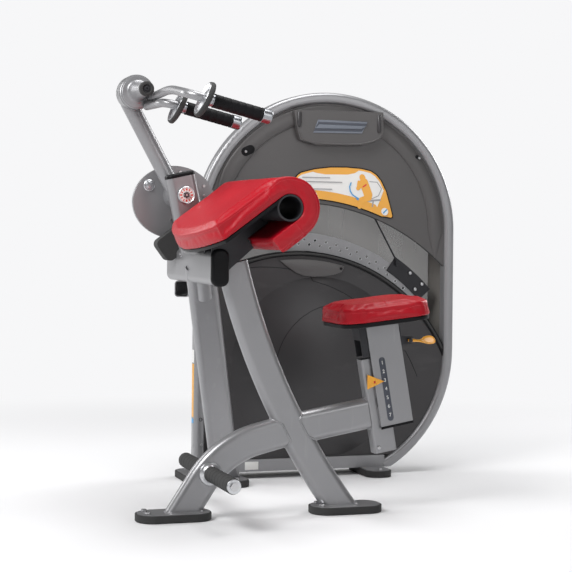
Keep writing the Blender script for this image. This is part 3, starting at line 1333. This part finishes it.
    def _placard(self) -> None:
        """Fan-shaped instruction placard: dark edge, orange border, white field, figure and arcs, no words."""
        fit = self.fitter
        rim = ((641, 1022), (641, 1090), (648, 1106), (665, 1119), (718, 1133), (781, 1141), (845, 1142), (905, 1138),
               (942, 1130), (965, 1116), (984, 1095), (1006, 1053), (1022, 1000), (1032, 964), (1031, 955),
               (1022, 951), (1004, 954))
        outline = list(rim) + self.sweep(self.placard_foot, 67.5, 91.4, 20)
        edge = self._sheet("placard_edge", outline, self.face, 3.0, 0.0)
        fit.stand_for(edge, Look.BLACK, "instruction_placard")
        border = self._sheet("placard_border", outline, self.face - 3.0, 0.3, 4.0)
        fit.hang(border, Look.ORANGE_PRINT, "frame", "placard_print")
        field_top = [(x, z) for x, z in rim[:12]] + [(1002, 1050), (992, 1024)]
        field_foot = self.sweep(self.field_foot, 68.8, 91.2, 18)
        field = self._sheet("placard_field", field_top + field_foot, self.face - 3.3, 0.3, 11.0)
        fit.hang(field, Look.WHITE_PRINT, "frame", "placard_print")
        banner = ((704, 1124), (724, 1115), (760, 1110), (850, 1111), (878, 1117), (896, 1131), (845, 1136),
                  (781, 1135), (730, 1129))
        fit.hang(self._sheet("placard_banner", banner, self.face - 3.6, 0.25, 1.5), Look.ORANGE_PRINT, "frame",
                 "placard_print")
        self._figure(fit, self.face - 3.9)

    def _sheet(self, name: str, outline: Sequence[Point], y: float, thick: float, inset: float) -> bpy.types.Object:
        """Flat printed sheet from an outline drawn in by an inset, all in millimetres."""
        count = len(outline)
        middle = Vector((sum(x for x, _ in outline) / count, sum(z for _, z in outline) / count))
        points = []
        for index, (x, z) in enumerate(outline):
            before, after = Vector(outline[index - 1]), Vector(outline[(index + 1) % count])
            run = (after - before).normalized()
            inward = Vector((run.y, -run.x))
            if inward.dot(middle - Vector((x, z))) < 0:
                inward = -inward
            points.append(at(x + inward.x * inset, y, z + inward.y * inset))
        return Bench.plate(name, points, Vector((0, -thick * MM, 0)), 0.0)

    def _figure(self, fit: Fitter, y: float) -> None:
        """Seated figure made of rounded strokes, with a machine outline and movement arcs."""
        layers = (
            ("placard_machine", Look.GREY_PRINT, (((936, 1088), (966, 1086), 1.4), ((966, 1086), (984, 1062), 1.4),
                                                   ((984, 1062), (972, 1036), 1.4), ((972, 1036), (946, 1024), 1.4),
                                                   ((926, 1016), (978, 1020), 3.2), ((952, 1018), (948, 996), 2.6))),
            ("placard_figure", Look.ORANGE_PRINT, (((906, 1104), (908, 1100), 11.0), ((913, 1084), (931, 1038), 16.5),
                                                    ((934, 1028), (904, 1018), 11.5), ((904, 1018), (897, 994), 8.0),
                                                    ((911, 1082), (890, 1062), 7.5), ((890, 1062), (893, 1086), 5.5))),
            ("placard_muscle", Look.RED_PRINT, (((910, 1068), (922, 1076), 2.6),)),
            ("placard_arcs", Look.BLUE_PRINT, (((862, 1082), (857, 1068), 2.4), ((857, 1068), (859, 1052), 2.4),
                                                ((859, 1052), (868, 1038), 2.4), ((868, 1038), (884, 1028), 2.4),
                                                ((888, 1024), (889, 1023), 5.0))),
            ("placard_bars", Look.GREY_PRINT, (((672, 1099), (778, 1099), 1.7), ((672, 1084), (826, 1083), 1.7),
                                                ((672, 1071), (704, 1071), 1.7), ((672, 1057), (786, 1057), 1.7))),
            ("placard_spot", Look.WHITE_PRINT, (((996, 978), (998, 976), 13.0),)),
            ("placard_spot_mark", Look.BLUE_PRINT, (((992, 972), (1004, 984), 2.6),)),
        )
        for level, (name, look, strokes) in enumerate(layers):
            fit.hang(self._strokes(name, strokes, y - level * 0.4), look, "frame", "placard_print")

    def _strokes(self, name: str, strokes: Sequence[tuple[Point, Point, float]], y: float) -> bpy.types.Object:
        """Flat rounded strokes joined into one print."""
        made = []
        for order, (start, end, wide) in enumerate(strokes):
            level = y - order * 0.06
            first, last = at(start[0], level, start[1]), at(end[0], level, end[1])
            run = last - first
            heading = math.atan2(run.z, run.x)
            outline = []
            for centre, turn in ((last, heading - math.pi / 2), (first, heading + math.pi / 2)):
                for step in range(9):
                    angle = turn + math.pi * step / 8
                    outline.append(centre + Vector((math.cos(angle), 0, math.sin(angle))) * (wide * MM))
            made.append(Bench.plate(name, outline, Vector((0, -0.0003, 0)), 0.0))
        return Bench.joined(name, made)

    def _clips(self) -> None:
        """Oval panel clips with screws, and screws on the hoop's foot."""
        clips, screws = [], []
        for x, z, turn, reach, wide in ((461.0, 1192.0, 24, 10, 16.5), (1128.0, 1182.0, 152, 5, 6.5)):
            length, across = slant(turn), slant(turn + 90)
            outline = []
            for shift, start in ((reach, -90), (-reach, 90)):
                for step in range(9):
                    angle = math.radians(start + 180 * step / 8)
                    outline.append(at(x, self.face, z) + length * ((shift + wide * math.cos(angle)) * MM)
                                   + across * (wide * math.sin(angle) * MM))
            clips.append(Bench.plate("clip", outline, Vector((0, -0.011, 0)), 2.4))
            screws.append(self._screw(at(x, self.face - 11, z) - length * (reach * MM)))
        screws.append(self._screw(at(296.7, 711, 129.7)))
        fit = self.fitter
        fit.hang(Bench.joined("panel_clips", clips), Look.BLACK, "frame", "black_plastic")
        fit.hang(Bench.joined("panel_screws", screws), Look.ZINC, "frame", "bright_steel")
        hole = Bench.turned("hoop_slot", at(293, 711.4, 221), Vector((0, -1, 0)),
                            [(6.5, 0), (6.5, 0.8), (5.4, 1.0), (4.6, 0.3), (0.5, 0.3)], sides=28)
        fit.hang(hole, Look.BLACK, "frame", "black_plastic")

    @staticmethod
    def _screw(place: Vector) -> bpy.types.Object:
        """Pan-headed screw with a round drive."""
        return Bench.turned("screw", place, Vector((0, -1, 0)),
                            [(5.2, -0.5), (5.2, 0.8), (4.2, 2.4), (2.3, 2.9), (2.1, 1.3), (0.3, 1.2)], sides=28)

    def _selector(self) -> None:
        """Turned selector knob and pin on the arc."""
        low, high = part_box("selector_pin")
        middle = (low + high) / 2
        knob = Bench.turned("selector_knob", Vector((middle.x, high.y, middle.z)), Vector((0, -1, 0)),
                            [(4.9, 0), (4.95, 15), (6.0, 16), (9.5, 17), (10.0, 22), (12.6, 25), (13.0, 31), (12.2, 36),
                             (9.0, 39.5), (3.0, 40), (0.4, 40)], sides=48)
        fit = self.fitter
        fit.stand_for(knob, Look.BLACK, "selector_pin")
        rims = []
        profile = [(5.0, -1.5), (6.2, 0), (6.0, 0.6), (5.2, 0.6), (4.8, 0.1)]
        for row, radius in enumerate(self.hole_rows):
            for index in range(self.hole_count - row):
                place = around(self.fan, radius, self.hole_first + self.hole_step * (index + 0.5 * row), self.arc_face)
                rims.append(Bench.turned("hole_rim", place, Vector((0, -1, 0)), profile, sides=24, ring=True))
        fit.hang(Bench.joined("arc_hole_rims", rims), Look.ALUMINIUM, "weight_arm", "frame_paint")
        caps = [Bench.turned("arc_bolt", around(self.fan, radius, turn, self.arc_face - 11), Vector((0, -1, 0)),
                             [(6.4, -3), (6.6, 0.4), (5.6, 2.0), (2.9, 2.6), (2.7, 1.0), (0.3, 0.9)], sides=32)
                for radius, turn in ((736, 50.5), (704, 46), (738, 45.5))]
        fit.hang(Bench.joined("arc_bolt_caps", caps), Look.ZINC, "weight_arm", "black_steel")

    def _side_labels(self) -> None:
        """Blank coloured panels on the hoop's outer left side and a blank label on the base beam."""
        fit = self.fitter
        left = self.middle - self.radius
        bands = ((120, 205, Look.GREY_PRINT, "low"), (206, 222, Look.BLUE_PRINT, "mid"),
                 (228, 420, Look.ORANGE_PRINT, "high"), (424, 470, Look.WHITE_PRINT, "top"))
        for low, high, look, name in bands:
            corners = [at(left, y, z) for y, z in ((727, low), (752, low), (752, high), (727, high))]
            label = Bench.plate(f"side_label_{name}", corners, Vector((-0.0005, 0, 0)), 0.15)
            fit.hang(label, look, "frame", "placard_print")
        corners = [at(x, 714, z) for x, z in ((461, 33), (512, 33), (512, 62), (461, 62))]
        tag = Bench.plate("beam_label", corners, Vector((0, -0.0005, 0)), 0.15)
        fit.hang(tag, Look.WHITE_PRINT, "frame", "placard_print")


# ------------------------------------------------------------------ studio
@dataclass
class Studio:
    """Pale floor, soft lights and the camera."""

    eye: tuple[float, float, float] = (-1.8046, -5.1255, 0.914)
    yaw: float = 18.2
    roll: float = 0.6
    lens: float = 100.7
    rise: float = -0.1023
    pale: Colour = (0.93, 0.93, 0.94)
    ambient: float = 0.12

    def build(self) -> None:
        """Set up the studio."""
        bpy.context.scene.view_settings.view_transform = "Standard"
        self._floor()
        self._world()
        self._lights()
        data = bpy.data.cameras.new("camera")
        data.lens = self.lens
        data.shift_y = self.rise
        camera = bpy.data.objects.new("camera", data)
        bpy.context.scene.collection.objects.link(camera)
        camera.location = self.eye
        facing = Matrix.Rotation(math.radians(-self.yaw), 4, "Z") @ Matrix.Rotation(math.radians(90), 4, "X")
        camera.rotation_euler = (facing @ Matrix.Rotation(math.radians(self.roll), 4, "Z")).to_euler()
        bpy.context.scene.camera = camera

    def _floor(self) -> None:
        """Wide plain floor that fades into the backdrop's tone far away."""
        Bench.pick()
        bpy.ops.mesh.primitive_plane_add(size=120, location=(0, 0, -0.0005))
        floor = bpy.context.object
        floor.name = "floor"
        graph = Graph("floor_pale")
        tone = graph.noise(1.2, 3)
        graph.dress(Base_Color=graph.shades((0.80, 0.80, 0.81), tone, 0.985, 1.0), Roughness=tone * 0.06 + 0.62)
        far = graph.node("ShaderNodeVectorMath", {"operation": "LENGTH"}, {0: graph.place}, 1)
        share = graph.node("ShaderNodeMapRange", {"interpolation_type": "SMOOTHSTEP"}, {0: far, 1: 1.3, 2: 3.4})
        glow = graph.node("ShaderNodeEmission", {}, {0: (*self.pale, 1.0), 1: 1.0})
        blended = graph.node("ShaderNodeMixShader", {}, {0: share, 1: Sock(graph, graph.shader.outputs[0]), 2: glow})
        graph.feed(graph.output.inputs[0], blended)
        floor.data.materials.append(graph.material)

    def _world(self) -> None:
        """Pale surroundings that give only a little light of their own."""
        world = bpy.data.worlds.new("studio")
        world.use_nodes = True
        tree = world.node_tree
        background = tree.nodes["Background"]
        background.inputs[0].default_value = (*self.pale, 1.0)
        seen = tree.nodes.new("ShaderNodeLightPath")
        strength = tree.nodes.new("ShaderNodeMapRange")
        strength.inputs[3].default_value = self.ambient
        tree.links.new(seen.outputs["Is Camera Ray"], strength.inputs[0])
        tree.links.new(strength.outputs[0], background.inputs[1])
        bpy.context.scene.world = world

    def _lights(self) -> None:
        """Large soft boxes."""
        boxes = (("key", (-3.2, -1.6, 3.6), 2.0, 165.0), ("front", (1.6, -4.8, 2.4), 2.0, 34.0),
                 ("top", (0.3, 0.0, 4.2), 2.2, 100.0), ("rim", (3.2, 1.6, 2.2), 1.6, 70.0),
                 ("back", (-2.8, 2.8, 2.2), 1.8, 60.0))
        for name, place, size, power in boxes:
            data = bpy.data.lights.new(name, "AREA")
            data.size = size
            data.energy = power
            light = bpy.data.objects.new(name, data)
            bpy.context.scene.collection.objects.link(light)
            light.location = place
            aim = Vector((0, 0, 0.7)) - Vector(place)
            light.rotation_euler = aim.to_track_quat("-Z", "Y").to_euler()


def main() -> None:
    """Build every part in order, then note the sizes."""
    logging.basicConfig(level=logging.INFO, format="%(message)s")
    fitter = Fitter()
    Studio().build()
    ElbowPad(fitter).build()
    Seat(fitter).build()
    StandingFrame(fitter).build()
    ExerciseArm(fitter).build()
    Handles(fitter).build()
    Tower(fitter).build()


if __name__ == "__main__":
    main()
